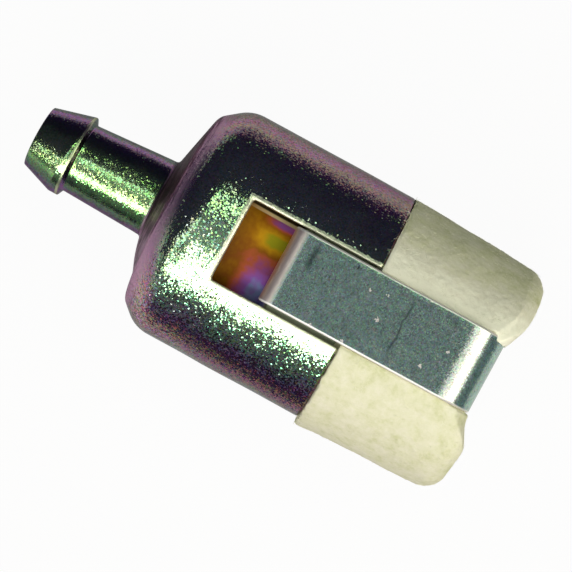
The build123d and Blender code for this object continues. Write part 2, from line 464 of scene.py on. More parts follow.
bevel.angle_limit = radians(40)
bevel.use_clamp_overlap = False
drawn_film = [
    (0.04, "#b8ccc0"),
    (0.22, "#b0a898"),
    (0.38, "#b78fa6"),
    (0.50, "#ad9a94"),
    (0.62, "#a5809b"),
    (0.72, "#8fa58c"),
    (0.90, "#a4ce9c"),
    (1.00, "#acd2a8"),
]
drawn_plate = plated_steel(
    "zinc_plate_drawn",
    drawn_film,
    patch_mm=3.6,
    grain_mm=0.1,
    dull_from=11.8 * MM,
    dull_to=12.55 * MM,
    # window edges worn to the steel, painted pale as a highlight too
    worn_and_highlit=(pale_edge_round_window, "#f0f2d8", 0.3),
    flow_to=window_at - 0.8 * MM,
    # where the corner's painted shade turns lighter, as painted light
    border_light_at=11.3 * MM,
)
finish_piece(shell, drawn_plate, "outer_shell")


# Hose nipple: turned from steel bar, zinc plated, with one sharp barb for the hose and a taper down to the
# shell. Its shank passes through the shell's end and is rolled over inside.
nipple_bore = 1.5 * MM
nipple_lead = 0.25 * MM
tip_radius = 2.42 * MM
barb_at = 2.8 * MM
barb_crest_at = 3.16 * MM
barb_radius = 3.28 * MM
barb_back_at = 3.5 * MM
barb_skew = 0.11
neck_radius = 2.77 * MM
foot_at = 10.2 * MM
foot_radius = 3.12 * MM
rolled_at = 13.5 * MM
rolled_radius = 3.4 * MM
nipple_outline = rounded(
    [
        (nipple_lead, nipple_bore),
        (0, nipple_bore + nipple_lead),
        (0, tip_radius),
        (barb_at, barb_radius),
        (barb_back_at - 0.25 * MM, barb_radius),
        (barb_back_at, neck_radius),
        (foot_at, foot_radius),
        (seat_at + 0.08 * MM, foot_radius + 0.48 * MM),
        (seat_at, shank_radius),
        (rolled_at, shank_radius),
        (rolled_at, rolled_radius),
        (rolled_at + 0.6 * MM, rolled_radius),
        (rolled_at + 1.2 * MM, nipple_bore),
        (nipple_lead, nipple_bore),
    ],
    MM * np.array([0.05, 0.08, 0.1, 0.1, 0.1, 0.3, 0, 0, 0, 0.1, 0.25, 0.1]),
    steps=6,
)
nipple_outline = divided(nipple_outline, 0.5 * MM)[:-1]
nipple_angles = even_angles(nipple_outline, 160)
nipple_points = turned(nipple_outline, nipple_angles)

# The barb's front is out of true: a point of it moves along X by skew * distance from the tip * sin(angle).
# The nipple is also bent: its barb sits 0.08 mm to the -Y side, and its foot 0.05 mm to the +Y side.
from_tip = nipple_outline[:, :1]
on_front = from_tip < barb_at + 0.2 * MM
nipple_points[..., 0] += barb_skew * from_tip * on_front * np.sin(nipple_angles)
nipple_points[..., 1] += MM * np.interp(from_tip, [barb_back_at, 9.5 * MM], [-0.08, 0.05])
nipple = new_piece("hose_nipple_turned", nipple_points, grid_faces(*nipple_angles.shape, True, True))
turned_film = [
    (0.02, "#92a49a"),
    (0.20, "#868c84"),
    (0.36, "#9a76a0"),
    (0.52, "#7c6a82"),
    (0.66, "#5e6e64"),
    (0.80, "#648060"),
    (0.93, "#92cc7c"),
    (1.00, "#a8da92"),
]


def pale_line_on_barb(add, place):
    """0.75 along the barb's crest, falling to 0 at 0.14 mm from it."""
    # The line along the crest is worn steel and a painted highlight.
    x = add("SeparateXYZ", {"Vector": place}).outputs["X"]
    off = add("Math", {0: x, 1: TIP_X + barb_crest_at}, operation="SUBTRACT")
    off = add("Math", {0: off}, operation="ABSOLUTE")
    return add("MapRange", {0: off, 1: 0.14 * MM, 2: 0.05 * MM, 4: 0.75})


turned_plate = plated_steel(
    "zinc_plate_turned",
    turned_film,
    patch_mm=2.6,
    grain_mm=0.075,
    dull_from=10.25 * MM,
    dull_to=9.9 * MM,
    # barb crest worn to the steel, painted pale as a highlight too
    worn_and_highlit=(pale_line_on_barb, "#d8deb6", 0.25),
    lean_mm=16.0,
)
finish_piece(nipple, turned_plate, "hose_nipple")


# Ballast core: the weight, turned from steel, pressed into the shell and dipped in yellow chromate. The
# strap's hooks sit in its groove, and the felt in its skirt. In the groove the film is thick enough for
# strong interference colours.
core_bore = shell_bore - 0.01 * MM
core_front_radius = 6.5 * MM
core_front_at = cone_at(core_front_radius) + shell_wall / cos(end_angle)
groove_radius = 7.0 * MM
groove_from = 16.05 * MM
groove_flat_from = 18.45 * MM
groove_to = 20.9 * MM
skirt_bore = 6.9 * MM
skirt_lead = 0.4 * MM
felt_seat_at = 22.8 * MM
flange_seat_at = 22.0 * MM
flange_radius = 5.2 * MM
chamber_from = 13.5 * MM
chamber_radius = 4.4 * MM
core_end_at = 26.8 * MM
core_outline = rounded(
    [
        (seat_at + shell_wall, shank_radius),
        (core_front_at, core_front_radius),
        (core_front_at + (core_bore - core_front_radius) / tan(shoulder_angle), core_bore),
        (groove_from, core_bore),
        (groove_flat_from, groove_radius),
        (groove_to, groove_radius),
        (groove_to, core_bore - 0.3 * MM),
        (groove_to + 0.3 * MM, core_bore),
        (core_end_at, core_bore),
        (core_end_at, skirt_bore + skirt_lead),
        (core_end_at - skirt_lead, skirt_bore),
        (felt_seat_at, skirt_bore),
        (felt_seat_at, flange_radius),
        (flange_seat_at, flange_radius),
        (flange_seat_at, chamber_radius),
        (chamber_from, chamber_radius),
        (chamber_from, shank_radius),
        (seat_at + shell_wall, shank_radius),
    ],
    MM * np.array([0.3, 0.3, 0.6, 3.0, 0.15, 0.1, 0.1, 0.1] + [0.0] * 8),
)
core_outline = divided(core_outline, 0.4 * MM)[:-1]
core_angles = even_angles(core_outline, 192)
core_points = turned(core_outline, core_angles)
core = new_piece("ballast_core_chromated", core_points, grid_faces(*core_angles.shape, True, True))


def chromated_steel(name):
    """Turned steel with an iridescent chromate film, olive, gold, brown, red, violet and blue as it thickens.

    The film's thickness is 0.35 plus how far a point is along the groove times a growth that depends on its
    place across: negative at y = 1 mm, and rising toward both walls. A soft drift is added. The colour is
    then scaled by painted shade and light: darker toward -Y and near the window's start, where the walls
    shade the floor, and lighter toward both walls near the hook. A pale line along the +Y wall is a painted
    reflection, the corner under that wall gets painted shade, and the land past the groove is painted a
    lighter grey-green, as light that its narrow slot doesn't get.
    """
    material, add, dress, place = new_material(name)
    x, y, _ = add("SeparateXYZ", {"Vector": place}).outputs
    along = add("MapRange", {0: x, 1: TIP_X + 17.6 * MM, 2: TIP_X + 19.4 * MM})
    growth = add("MapRange", {0: y, 1: 1.0 * MM, 2: 0.0, 3: -0.35, 4: 0.2})
    for near, far, more in ((0.0, -2.2, 0.33), (1.6, 2.5, 0.72)):
        grown = add("MapRange", {0: y, 1: near * MM, 2: far * MM, 4: more})
        growth = add("Math", {0: growth, 1: grown}, operation="ADD")
    film = add("Math", {0: along, 1: growth, 2: 0.35}, operation="MULTIPLY_ADD")
    for patch_mm, depth in ((2.2, 0.14), (0.4, 0.1)):
        drift = add("TexNoise", {"Vector": place, "Scale": 1 / (patch_mm * MM), "Detail": 3.0})
        drift = add("MapRange", {0: drift, 3: -depth, 4: depth})
        film = add("Math", {0: film, 1: drift}, operation="ADD")
    film_stops = [
        (0.00, "#948c14"),
        (0.16, "#b8860a"),
        (0.30, "#a06c06"),
        (0.40, "#8a5208"),
        (0.52, "#a45030"),
        (0.64, "#904670"),
        (0.78, "#7c4c98"),
        (0.92, "#6c78a0"),
    ]
    film_colour = add("ValToRGB", {"Fac": film}, stops=film_stops)

    # Painted shade and light on the floor: darker toward -Y, lighter by both walls near the hook.
    bright = add("MapRange", {0: y, 1: 1.4 * MM, 2: -0.6 * MM, 3: 1.0, 4: 0.8})
    toward_hook = add("MapRange", {0: x, 1: TIP_X + 17.6 * MM, 2: TIP_X + 20.2 * MM})
    for near, far, more in ((-1.0, -2.9, 2.2), (1.9, 2.6, 1.0)):
        painted_lift = add("MapRange", {0: y, 1: near * MM, 2: far * MM, 4: more})
        bright = add("Math", {0: toward_hook, 1: painted_lift, 2: bright}, operation="MULTIPLY_ADD")
    # Painted shade near the window's start, under its front wall.
    front = add("MapRange", {0: x, 1: TIP_X + 16.9 * MM, 2: TIP_X + 18.3 * MM, 3: 0.55})
    bright = add("Math", {0: bright, 1: front}, operation="MULTIPLY")
    colour = add("VectorMath", {0: film_colour.outputs["Color"], "Scale": bright}, operation="SCALE")

    # Painted reflection: a pale line along the +Y wall, stronger further along the groove.
    painted_light = add("MapRange", {0: y, 1: 2.78 * MM, 2: 2.86 * MM})
    line_stronger = add("MapRange", {0: x, 1: TIP_X + 16.8 * MM, 2: TIP_X + 18.4 * MM, 3: 0.2})
    painted_light = add("Math", {0: painted_light, 1: line_stronger}, operation="MULTIPLY")
    # Painted shade in the corner under the +Y wall.
    painted_wall_shade = add("MapRange", {0: y, 1: 3.02 * MM, 2: 3.1 * MM})
    # Painted light on the land past the groove, which lies in a narrow shaded slot.
    painted_land_light = add("MapRange", {0: x, 1: TIP_X + groove_to, 2: TIP_X + groove_to + 0.2 * MM})
    for share, tint in ((painted_light, "#ffe8ae"), (painted_wall_shade, "#3c3018"), (painted_land_light, "#a0aa94")):
        colour = add("Mix", {0: share, 6: colour, 7: tint}, data_type="RGBA")
    bump = add("Bump", {"Height": ringed(add, place, 0.12, 3, 1.0), "Distance": 0.004 * MM})
    dress({"Base Color": colour, "Normal": bump, "Metallic": 0.4, "Roughness": 0.5})
    dress({"Specular IOR Level": 0.15})
    return material


finish_piece(core, chromated_steel("yellow_chromate_turned"), "ballast_core")


# Retaining strap: a strip of spring steel, sheared from sheet and bent to a U round the felt, its ends
# hooked into the core's groove. It sits 0.09 mm toward +Y and dips a little toward its hooks. Handling has
# left scratches and nicks. A dark band is painted shade for a fold line that the shape doesn't have, the
# bends are painted pale as highlights, and the edges are worn steel with a painted highlight along them.
strap_half_width = 3.0 * MM
strap_half_thickness = 0.25 * MM
strap_edge_round = 0.16 * MM
strap_off_middle = 0.09 * MM
strap_line = shell_radius - strap_half_thickness
hook_line_at = 20.65 * MM
hook_reach = 7.35 * MM
dip_from = 21.5 * MM
dip = 0.08 * MM
strap_bend_at = 37.5 * MM
strap_path = rounded(
    [
        (hook_line_at, hook_reach),
        (hook_line_at, strap_line - dip),
        (dip_from, strap_line),
        (strap_bend_at, strap_line),
        (strap_bend_at, -strap_line),
        (dip_from, -strap_line),
        (hook_line_at, dip - strap_line),
        (hook_line_at, -hook_reach),
    ],
    MM * np.array([0.7, 3.0, 2.75, 2.75, 3.0, 0.7]),
    steps=24,
)
strap_path = divided(strap_path, 0.5 * MM)
heading = np.gradient(strap_path, axis=0)
heading /= np.linalg.norm(heading, axis=1, keepdims=True)
outward = np.stack([-heading[:, 1], heading[:, 0]], axis=1)
strap_section = rounded(
    [
        (0, -strap_half_thickness),
        (strap_half_width, -strap_half_thickness),
        (strap_half_width, strap_half_thickness),
        (-strap_half_width, strap_half_thickness),
        (-strap_half_width, -strap_half_thickness),
        (0, -strap_half_thickness),
    ],
    [strap_edge_round] * 4,
    steps=5,
)
strap_section = divided(strap_section, 0.3 * MM)


def swept(path, away, section):
    """A section carried along a path in the middle plane: its first value along Y, its second outwards."""
    centre = np.stack([TIP_X + path[:, 0], 0 * path[:, 0] + strap_off_middle, AXIS_Z + path[:, 1]], axis=1)
    away = np.stack([away[:, 0], 0 * away[:, 0], away[:, 1]], axis=1)
    aside = np.array([0, 1.0, 0])
    return centre[:, None] + section[None, :, :1] * aside + section[None, :, 1:] * away[:, None]


def run_length(line):
    """How far along a line each of its points is: the sum of the steps before it."""
    return np.concatenate([[0], np.cumsum(np.linalg.norm(np.diff(line, axis=0), axis=1))])


strap_points = swept(strap_path, outward, strap_section)
strap_flat = np.stack(np.meshgrid(run_length(strap_path), run_length(strap_section), indexing="ij"), axis=-1)
strap_rows, strap_columns = strap_points.shape[:2]
strap_faces = grid_faces(strap_rows, strap_columns, False, False)
first_cap = np.arange(strap_columns - 1)
strap_caps = [first_cap, (strap_rows - 1) * strap_columns + first_cap]
strap = new_piece("retaining_strap_bent", strap_points, strap_faces, strap_caps, strap_flat)


def scratched_spring_steel(name):
    """Cold-rolled spring steel under thin plate: a grey-green satin, mottled, with scratches along the strip.

    Scratches are long thin streaks of noise, 0.05 mm wide. Nicks are a few jagged spots up to 0.3 mm
    across, dark or bright, one at most in a cell of 1.4 mm. Two dark bands wander across the top of the
    strip and fade toward their two ends: one is painted shade for a fold line that the shape doesn't have,
    the other lies near the hooks. The bends are painted pale as highlights. The cut edges are pale and
    rougher: worn steel, with a painted highlight along them.
    """
    material, add, dress, place = new_material(name)
    flat = add("UVMap", uv_map="flat")
    x, y, z = add("SeparateXYZ", {"Vector": place}).outputs
    cloud = add("TexNoise", {"Vector": place, "Scale": 1 / (0.7 * MM), "Detail": 5.0, "Roughness": 0.75})
    satin = [(0.26, "#859d95"), (0.45, "#93aca4"), (0.56, "#9ab2aa"), (0.74, "#a8beb6")]
    colour = add("ValToRGB", {"Fac": cloud}, stops=satin)

    wander = add("TexNoise", {"Vector": place, "Scale": 1 / (1.1 * MM), "Detail": 3.0})
    on_top = add("Math", {0: z, 1: AXIS_Z}, operation="GREATER_THAN")
    # Painted shade: a dark band across the top for a fold line that the strip's shape doesn't have.
    crease_shade = (30.35, 0.12, 0.7, -2.1, 2.6)
    # A second dark band, near the hooks.
    dark_band_near_hooks = (22.45, 0.34, 0.4, 0.2, 2.9)
    for centre_mm, half_width_mm, wander_mm, low_y_mm, high_y_mm in (crease_shade, dark_band_near_hooks):
        off = add("Math", {0: wander, 1: wander_mm * MM, 2: x}, operation="MULTIPLY_ADD")
        off = add("Math", {0: off, 1: TIP_X + (centre_mm + wander_mm / 2) * MM}, operation="SUBTRACT")
        off = add("Math", {0: off}, operation="ABSOLUTE")
        dark = add("MapRange", {0: off, 1: half_width_mm * MM, 2: 0.0, 4: 0.75})
        for near, far in ((low_y_mm, low_y_mm + 0.8), (high_y_mm, high_y_mm - 0.8)):
            fade = add("MapRange", {0: y, 1: near * MM, 2: far * MM})
            dark = add("Math", {0: dark, 1: fade}, operation="MULTIPLY")
        dark = add("Math", {0: dark, 1: on_top}, operation="MULTIPLY")
        colour = add("Mix", {0: dark, 6: colour, 7: "#34424a"}, data_type="RGBA")

    jagged = add("TexNoise", {"Vector": flat, "Scale": 1 / (0.16 * MM), "Detail": 2.0}).outputs["Color"]
    jagged = add("VectorMath", {0: jagged, 1: (0.6 * MM, 0.6 * MM, 0.0), 2: flat}, operation="MULTIPLY_ADD")
    cells = add("TexVoronoi", {"Vector": jagged, "Scale": 1 / (1.4 * MM)}, voronoi_dimensions="2D")
    size_draw, tone_draw, _ = add("SeparateColor", {"Color": cells.outputs["Color"]}).outputs
    nick_size = add("MapRange", {0: size_draw, 1: 0.5, 3: 0.02, 4: 0.1})
    nicked = add("Math", {0: cells, 1: nick_size}, operation="LESS_THAN")
    nick_stops = [(0.0, "#4c5654"), (0.5, "#a9b0aa"), (0.56, "#fff6ee")]
    nick_colour = add("ValToRGB", {"Fac": tone_draw}, stops=nick_stops)
    colour = add("Mix", {0: nicked, 6: colour, 7: nick_colour}, data_type="RGBA")

    streaks = add("Mapping", {"Vector": flat, "Scale": (1 / (5 * MM), 1 / (0.05 * MM), 1.0)})
    scratches = add("TexNoise", {"Vector": streaks, "Scale": 1.0, "Detail": 2.0})
    bump = add("Bump", {"Height": scratches, "Distance": 0.003 * MM})
    normal, cell_colour = faceted(add, place, bump, 0.09, 0.06, 0.08)
    muted = add("HueSaturation", {"Color": cell_colour, "Saturation": 0.4})
    colour = add("Mix", {0: 0.6, 6: colour, 7: muted}, data_type="RGBA", blend_type="OVERLAY")

    # Painted highlight: the bends are painted pale where they catch the light.
    hooked = add("MapRange", {0: x, 1: TIP_X + 21.5 * MM, 2: TIP_X + 21.15 * MM})
    far_bend = add("MapRange", {0: x, 1: TIP_X + 34.7 * MM, 2: TIP_X + 35.4 * MM, 4: 0.3})
    past_bend = add("MapRange", {0: x, 1: TIP_X + 36.6 * MM, 2: TIP_X + 36.1 * MM})
    bent = add("Math", {0: far_bend, 1: past_bend}, operation="MULTIPLY")
    bent = add("Math", {0: bent, 1: hooked}, operation="MAXIMUM")
    aside = add("Math", {0: y, 1: strap_off_middle}, operation="SUBTRACT")
    aside = add("Math", {0: aside}, operation="ABSOLUTE")
    # The cut edges are worn steel, painted pale as a highlight too.
    pale_cut_edge = add("MapRange", {0: aside, 1: strap_half_width - 0.19 * MM, 2: strap_half_width - 0.12 * MM})
    for share, steel in ((bent, "#e8dcd4"), (pale_cut_edge, "#eeebe6")):
        colour = add("Mix", {0: share, 6: colour, 7: steel}, data_type="RGBA")
    scraped = add("Math", {0: tone_draw, 1: 0.55}, operation="GREATER_THAN")
    scraped = add("Math", {0: nicked, 1: scraped}, operation="MULTIPLY")
    scraped = add("Math", {0: scraped, 1: pale_cut_edge}, operation="MAXIMUM")
    metallic = add("MapRange", {0: scraped, 3: 1.0, 4: 0.6})
    worn = add("Math", {0: hooked, 1: pale_cut_edge}, operation="MAXIMUM")
    roughness = add("MapRange", {0: worn, 3: 0.22, 4: 0.48})
    dress({"Base Color": colour, "Normal": normal, "Metallic": metallic, "Roughness": roughness})
    return material


finish_piece(strap, scratched_spring_steel("spring_steel_satin"), "retaining_strap")


# Felt plug: needled wool felt, cream, squeezed into the core's skirt. It swells where it leaves the shell
# and hangs ragged over the rim, leans toward -Y, and bulges in two lobes beside the strap, which pinches
# it. At the far end the +Y lobe overhangs the strap's edge.
felt_radius = 9.6 * MM
felt_end_at = 39.0 * MM
felt_bore = 3.25 * MM
felt_bore_end_at = 34.4 * MM
felt_gap = 0.02 * MM
felt_lean = -0.27 * MM
felt_end_lean = -0.07 * MM
felt_taper = 0.052
strap_inside = shell_radius - 2 * strap_half_thickness
strap_floor_at = 37.25 * MM
channel_corner = 2.5 * MM
edge_overhang = 0.7 * MM
hidden_felt = rounded(
    [
        (felt_bore_end_at, 0),
        (felt_bore_end_at, felt_bore),
        (felt_seat_at + felt_gap, felt_bore),
        (felt_seat_at + felt_gap, skirt_bore - felt_gap),
        (core_end_at - skirt_lead, skirt_bore - felt_gap),
        (core_end_at + felt_gap, skirt_bore + skirt_lead),
        (core_end_at + felt_gap, shell_bore - felt_gap),
        (rim_at, shell_bore - felt_gap),
    ],
    [0.0] * 6,
)
shown_felt = rounded(
    [
        (rim_at, shell_bore - felt_gap),
        (rim_at + 0.03 * MM, felt_radius),
        (felt_end_at, felt_radius),
        (felt_end_at, 0),
    ],
    [0.3 * MM, 1.7 * MM],
    steps=18,
)
felt_outline = np.concatenate([divided(hidden_felt, 1.2 * MM)[:-1], divided(shown_felt, 0.125 * MM)])
felt_angles = slotted_angles(felt_outline[:, 1], strap_half_width, 36, 190)
felt_points = turned(felt_outline, felt_angles)


def smooth_step(value, low, high):
    """From 0 at low to 1 at high along 3 t^2 - 2 t^3."""
    t = np.clip((value - low) / (high - low), 0, 1)
    return t * t * (3 - 2 * t)


def soft_least(a, b, blend):
    """The smaller of a and b, with the corner between them rounded over a blend width."""
    h = np.clip(0.5 + 0.5 * (b - a) / blend, 0, 1)
    return b * (1 - h) + a * h - blend * h * (1 - h)


at = felt_points[..., 0] - TIP_X
swell = smooth_step(at, rim_at, rim_at + 0.5 * MM)
narrowing = 1 - felt_taper * np.clip((at - rim_at) / (felt_end_at - rim_at), 0, 1)
leaning = felt_lean * smooth_step(at, rim_at - 0.02 * MM, rim_at + 0.15 * MM)
leaning += felt_end_lean * smooth_step(at, 32 * MM, 37 * MM)
felt_points[..., 1] = felt_points[..., 1] * narrowing + leaning
felt_points[..., 2] = AXIS_Z + (felt_points[..., 2] - AXIS_Z) * narrowing
over_rim = smooth_step(felt_outline[:, 1:], shell_radius + 0.04 * MM, felt_radius) * (at < rim_at + 0.4 * MM)
over_rim *= 1 - smooth_step(at, rim_at, rim_at + 0.4 * MM)
ragged = 0.13 + 0.11 * waves(felt_points, 1.1 * MM, draws)
felt_points[..., 0] -= over_rim * np.clip(ragged, 0, 0.3) * MM
lumps = 0.05 * waves(felt_points, 5.0 * MM, draws) + 0.02 * waves(felt_points, 1.6 * MM, draws)
felt_points += grid_normals(felt_points) * (lumps * swell * MM)[..., None]

# The strap's channel: under the strap the felt keeps inside the strap's inner outline, a rectangle with
# round corners. Beside the strap it may rise past it by a lip, and further out by a lobe, looser on the +Y
# side. How far a point is outside that outline is its distance from the rectangle shrunk by the corners'
# radius, less that radius.
off_middle = np.abs(felt_points[..., 1] - strap_off_middle)
looser = felt_points[..., 1] > 0
lip = np.where(looser, 0.55 * MM, 0.65 * MM)
lip *= smooth_step(off_middle, strap_half_width - 0.02 * MM, strap_half_width + 0.15 * MM)
rising = np.clip((off_middle - 3.1 * MM) / (3.2 * MM), 0, 1)
looser_lobe = 1.0 * MM * (1 - (1 - rising) ** 2)
tighter_lobe = 0.9 * MM * smooth_step(off_middle, 3.3 * MM, 5.9 * MM)
lobe = np.where(looser, looser_lobe, tighter_lobe)
allowed = -0.012 * MM + lip + lobe
level = felt_points[..., 2] - AXIS_Z
at = felt_points[..., 0] - TIP_X
past_end = at - (strap_floor_at - channel_corner)
past_side = np.abs(level) - (strap_inside - channel_corner)
corner_reach = np.hypot(np.maximum(past_end, 0), np.maximum(past_side, 0))
outside_by = corner_reach + np.minimum(np.maximum(past_end, past_side), 0) - channel_corner
kept = soft_least(outside_by, allowed, 0.15 * MM)
excess = np.where((swell > 0) & (corner_reach > 0), outside_by - kept, 0) / np.maximum(corner_reach, 1e-9)
felt_points[..., 0] -= excess * np.maximum(past_end, 0)
felt_points[..., 2] -= excess * np.maximum(past_side, 0) * np.sign(level)

# At the far end the +Y lip leans over the strap's edge. Needling leaves a fine nap on all that shows.
over_edge = smooth_step(kept, 0.46 * MM, 0.58 * MM) * smooth_step(at, 35.8 * MM, 36.8 * MM) * looser
felt_points[..., 1] -= edge_overhang * over_edge * (1 - rising)
nap = 0.016 * waves(felt_points, 0.42 * MM, draws, 60)
felt_points += grid_normals(felt_points) * (nap * swell * MM)[..., None]
felt_faces = grid_faces(*felt_angles.shape, False, True)
felt = new_piece("felt_plug_needled", felt_points, felt_faces, smooth_below=80.0)


def wool_felt(name):
    """Undyed needled wool felt: a warm cream that scatters light softly, mottled in clouds and tufts.

    Its +Y side is painted lighter, the more so toward the strap: painted light.
    """
    material, add, dress, place = new_material(name)
    clouds = add("TexNoise", {"Vector": place, "Scale": 1 / (1.3 * MM), "Detail": 3.0, "Roughness": 0.6})
    tufts = add("TexNoise", {"Vector": place, "Scale": 1 / (0.45 * MM), "Detail": 6.0, "Roughness": 0.8})
    mottled = add("Mix", {0: 0.5, 2: clouds, 3: tufts}, data_type="FLOAT")
    y = add("SeparateXYZ", {"Vector": place}).outputs["Y"]
    # Painted light: the tone is lifted on the +Y side, the more so toward the strap.
    painted_lift = add("MapRange", {0: y, 1: 6.8 * MM, 2: 3.3 * MM, 3: -0.02, 4: 0.46})
    on_side = add("Math", {0: y, 1: 0.0}, operation="GREATER_THAN")
    tone = add("Math", {0: painted_lift, 1: on_side, 2: mottled}, operation="MULTIPLY_ADD")
    cream = [(0.34, "#ced09f"), (0.48, "#e0dfbe"), (0.66, "#ece9d3"), (0.86, "#faf9e4")]
    colour = add("ValToRGB", {"Fac": tone}, stops=cream)
    bump = add("Bump", {"Height": tufts, "Distance": 0.05 * MM, "Strength": 0.8})
    dress({"Base Color": colour, "Normal": bump, "Roughness": 1.0, "Specular IOR Level": 0.1})
    dress({"Sheen Weight": 0.04, "Sheen Roughness": 0.6})
    return material


finish_piece(felt, wool_felt("wool_felt_needled"), "felt_plug")


# Nap: single wool fibres that needling and handling have teased out of the felt, so they stand off its
# surface. They are three-sided tubes about as thick as real ones, and thicker at the rim, where some were
# caught.
def fibres(name, roots, up, toward, lengths, thickness, lift, draws, knots=5):
    """Curled three-sided fibres, one from each root.

    A fibre sets out along the surface, square to its toward vector, and turns as it goes. Where a share t
    of it is behind, it has risen by lift * t ** 1.4.
    """
    count = len(roots)
    first_way = np.cross(up, toward)
    first_way /= np.linalg.norm(first_way, axis=1, keepdims=True)
    second_way = np.cross(up, first_way)
    t = np.linspace(0, 1, knots)
    curl = draws.normal(0, 1.6, (count, 1)) * t
    forward = np.cumsum(np.cos(curl), axis=1) / knots
    sideways = np.cumsum(np.sin(curl), axis=1) / knots
    rise = lift[:, None] * t**1.4
    level_way = forward[..., None] * first_way[:, None] + sideways[..., None] * second_way[:, None]
    line = roots[:, None] + lengths[:, None, None] * level_way + rise[..., None] * up[:, None]
    way = np.gradient(line, axis=1)
    way /= np.linalg.norm(way, axis=-1, keepdims=True)
    side = np.cross(way, up[:, None])
    side /= np.linalg.norm(side, axis=-1, keepdims=True)
    over = np.cross(side, way)
    turn = np.array([0, 2, 4]) * pi / 3
    radius = (thickness[:, None] / 2 * (1 - 0.5 * t))[..., None, None]
    ring = np.cos(turn)[:, None] * side[:, :, None] + np.sin(turn)[:, None] * over[:, :, None]
    tube = line[:, :, None] + radius * ring
    quads = grid_faces(knots, 3, False, True)
    faces = (quads[None] + (np.arange(count) * knots * 3)[:, None, None]).reshape(-1, 4)
    return new_piece(name, tube, faces)


first_shown = np.flatnonzero(felt_outline[:, 0] > rim_at + 0.1 * MM)[0]
nap_places = felt_points[first_shown:].reshape(-1, 3)
nap_normals = grid_normals(felt_points)[first_shown:].reshape(-1, 3)
steps = [np.gradient(felt_points, axis=axis)[first_shown:] for axis in (0, 1)]
chance = np.linalg.norm(np.cross(*steps), axis=-1).ravel()
chance *= np.abs(nap_places[:, 1]) > strap_half_width + 0.25 * MM
chance *= np.linalg.norm(nap_normals, axis=1) > 0.5
nap_count = 5000
nap_chosen = draws.choice(len(chance), nap_count, p=chance / chance.sum())
nap_up = nap_normals[nap_chosen]
nap_fibres = fibres(
    "felt_nap",
    nap_places[nap_chosen] - nap_up * 0.02 * MM,
    nap_up,
    draws.normal(size=(nap_count, 3)),
    draws.uniform(0.2, 0.6, nap_count) * MM,
    draws.uniform(0.018, 0.028, nap_count) * MM,
    draws.uniform(0.01, 0.08, nap_count) * MM,
    draws,
)

# A few longer fibres that were caught over the shell's rim.
rim_angle = draws.uniform(0, 2 * pi, 60)
rim_up = np.stack([0 * rim_angle, np.sin(rim_angle), np.cos(rim_angle)], axis=1)
rim_roots = rim_up * (shell_radius + 0.05 * MM) + np.array([TIP_X + rim_at + 0.12 * MM, 0, AXIS_Z])
rim_aside = np.abs(rim_roots[:, 1])
rim_clear = (rim_aside > strap_half_width + 0.5 * MM) & (rim_aside < 8.4 * MM)
rim_up = rim_up[rim_clear]
rim_count = len(rim_up)
rim_fibres = fibres(
    "felt_rim_fibres",
    rim_roots[rim_clear],
    rim_up,
    np.cross(rim_up, np.array([1.0, 0, 0])) + draws.normal(0, 0.35, (rim_count, 3)),
    draws.uniform(0.3, 0.9, rim_count) * MM,
    draws.uniform(0.026, 0.036, rim_count) * MM,
    draws.uniform(0.02, 0.1, rim_count) * MM,
    draws,
)


def wool_fibre(name):
    """A single undyed wool fibre: pale and matt, a lighter cream than the felt."""
    material, add, dress, place = new_material(name)
    tone = add("TexNoise", {"Vector": place, "Scale": 1 / (0.8 * MM), "Detail": 1.0})
    colour = add("ValToRGB", {"Fac": tone}, stops=[(0.35, "#d6d6b8"), (0.65, "#eeeeda")])
    dress({"Base Color": colour, "Roughness": 0.8, "Sheen Weight": 0.2})
    return material


fibre_material = wool_fibre("wool_fibre")
for tuft in (nap_fibres, rim_fibres):
    tuft.data.materials.append(fibre_material)
    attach(tuft, "root")


# Strainer: a flanged brass tube with rows of holes, a sleeve of fine brass gauze rolled around it, and a
# pressed brass cup on its end. They are out of sight inside the felt and keep its bore open.
def brass(name, dimple_mm=0.3):
    """Brass, warm and dull inside the felt, with shallow dimples; on gauze they stand for its mesh."""
    material, add, dress, place = new_material(name)
    tarnish = add("TexNoise", {"Vector": place, "Scale": 1 / (1.5 * MM), "Detail": 3.0})
    colour = add("ValToRGB", {"Fac": tarnish}, stops=[(0.35, "#b58a3e"), (0.65, "#d9b468")])
    dimples = add("TexVoronoi", {"Vector": place, "Scale": 1 / (dimple_mm * MM)})
    bump = add("Bump", {"Height": dimples, "Distance": 0.01 * MM})
    dress({"Base Color": colour, "Normal": bump, "Metallic": 1.0, "Roughness": 0.35})
    return material


for node_name, brass_material in (
    ("support_tube", brass("brass_drawn")),
    ("gauze_sleeve", brass("brass_gauze", dimple_mm=0.1)),
    ("end_cap", brass("brass_pressed")),
):
    for place_in_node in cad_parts[node_name].material_slots:
        place_in_node.material = brass_material


# Studio: a pale card on a white floor, in a dark tent that only reflections and soft light see. Inside the
# tent hang ten soft boxes: three on the -Y side, three at the felt's end, one low beyond the nipple, one on
# the +Y side, and a strip and a dim box overhead.
glow_seen = 0.95
glow_reflected = 0.32
tent_colour = "#c6a4ff"
tent_glow = 0.055
tent_radius = 1500 * MM
soft_box_distance = 350 * MM


def flat_sheet(name, low, high, z):
    """A level rectangle between two corners, seen by the camera but no part of the filter."""
    data = bpy.data.meshes.new(name)
    corners = [(low[0], low[1], z), (high[0], low[1], z), (high[0], high[1], z), (low[0], high[1], z)]
    data.from_pydata(corners, [], [(0, 1, 2, 3)])
    return new_object(name, data)


def studio_material(name):
    """A material without a shader, and a function that adds its nodes."""
    material = bpy.data.materials.new(name)
    material.use_nodes = True
    material.node_tree.nodes.clear()
    return material, partial(add_node, material.node_tree)


